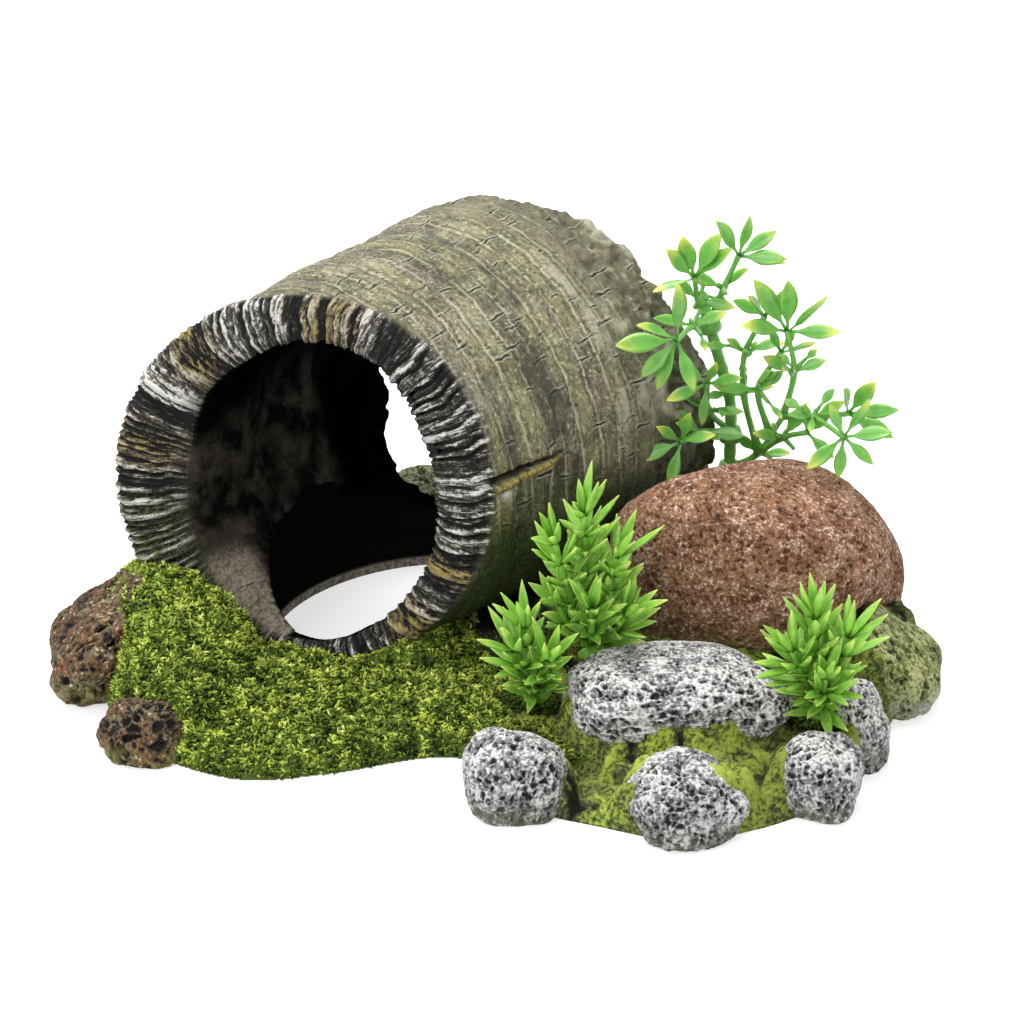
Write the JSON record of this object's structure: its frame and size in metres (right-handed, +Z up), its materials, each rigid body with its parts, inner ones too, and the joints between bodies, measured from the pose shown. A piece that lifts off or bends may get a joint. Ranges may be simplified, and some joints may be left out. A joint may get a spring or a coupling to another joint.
{
  "type": "resin cave ornament",
  "caption": "Hollow log cave on a mossy base with set stones, a floor window and pull-out plastic plants, for fish and reptiles to hide in and swim through.",
  "frame": {"origin": "centre of the bounding box, on the surface that the ornament stands on", "axes": "+Z up, +X along the longest side, the mouth of the log faces -Y"},
  "size_m": [0.2062, 0.1678, 0.1036],
  "materials": {
    "log_bark": "painted resin, matte",
    "base_resin": "painted resin, matte",
    "moss": "flocked granules, matte",
    "brown_stone": "painted resin, granular",
    "lava_rock": "painted resin, pitted",
    "grey_stone": "painted resin, dry-brushed",
    "mossy_stone": "painted resin, matte",
    "plant_plastic": "soft gloss",
    "bush_plastic": "soft gloss"
  },
  "bodies": {
    "cave": {"base_casting": "base_resin", "brown_stone_front": "brown_stone", "brown_stone_rear": "brown_stone", "corner_stone": "mossy_stone", "grey_stone_front_left": "grey_stone", "grey_stone_front_mid": "grey_stone", "grey_stone_front_right": "grey_stone", "grey_stone_right": "grey_stone", "grey_stone_top": "grey_stone", "lava_rock_left": "lava_rock", "lava_rock_small": "lava_rock", "log_shell": "log_bark", "moss_mat": "moss", "rear_rock": "mossy_stone"},
    "large_bush": {"bush_large_stem": "bush_plastic", "bush_large_tier_1": "bush_plastic", "bush_large_tier_2": "bush_plastic", "bush_large_tier_3": "bush_plastic", "bush_large_tier_4": "bush_plastic", "bush_large_tier_5": "bush_plastic", "bush_large_tier_6": "bush_plastic"},
    "small_bush": {"bush_small_stem": "bush_plastic", "bush_small_tier_1": "bush_plastic", "bush_small_tier_2": "bush_plastic", "bush_small_tier_3": "bush_plastic"},
    "right_bush": {"bush_right_stem": "bush_plastic", "bush_right_tier_1": "bush_plastic", "bush_right_tier_2": "bush_plastic", "bush_right_tier_3": "bush_plastic", "bush_right_tier_4": "bush_plastic"},
    "tall_plant": {"tall_plant_stem": "plant_plastic", "tall_plant_spray_left": "plant_plastic"},
    "upper_spray": {"tall_plant_spray_upper": "plant_plastic"},
    "right_spray": {"tall_plant_spray_right": "plant_plastic"}
  },
  "joints": [
    {"name": "large_bush_pull", "type": "slide", "parent": "cave", "child": "large_bush", "axis": [0, 0, 1], "range_m": [0, 0.011]},
    {"name": "small_bush_pull", "type": "slide", "parent": "cave", "child": "small_bush", "axis": [0, 0, 1], "range_m": [0, 0.008]},
    {"name": "right_bush_pull", "type": "slide", "parent": "cave", "child": "right_bush", "axis": [0, 0, 1], "range_m": [0, 0.009]},
    {"name": "tall_plant_pull", "type": "slide", "parent": "cave", "child": "tall_plant", "axis": [0, 0, 1], "range_m": [0, 0.01]},
    {"name": "upper_spray_turn", "type": "hinge", "parent": "tall_plant", "child": "upper_spray", "pos_m": [0.0498, 0.0324, 0.0738], "axis": [-0.2772, 0, 0.9608], "range_deg": [-5, 25]},
    {"name": "right_spray_turn", "type": "hinge", "parent": "tall_plant", "child": "right_spray", "pos_m": [0.0555, 0.0324, 0.037], "axis": [0, 0, 1], "range_deg": [0, 20]}
  ]
}
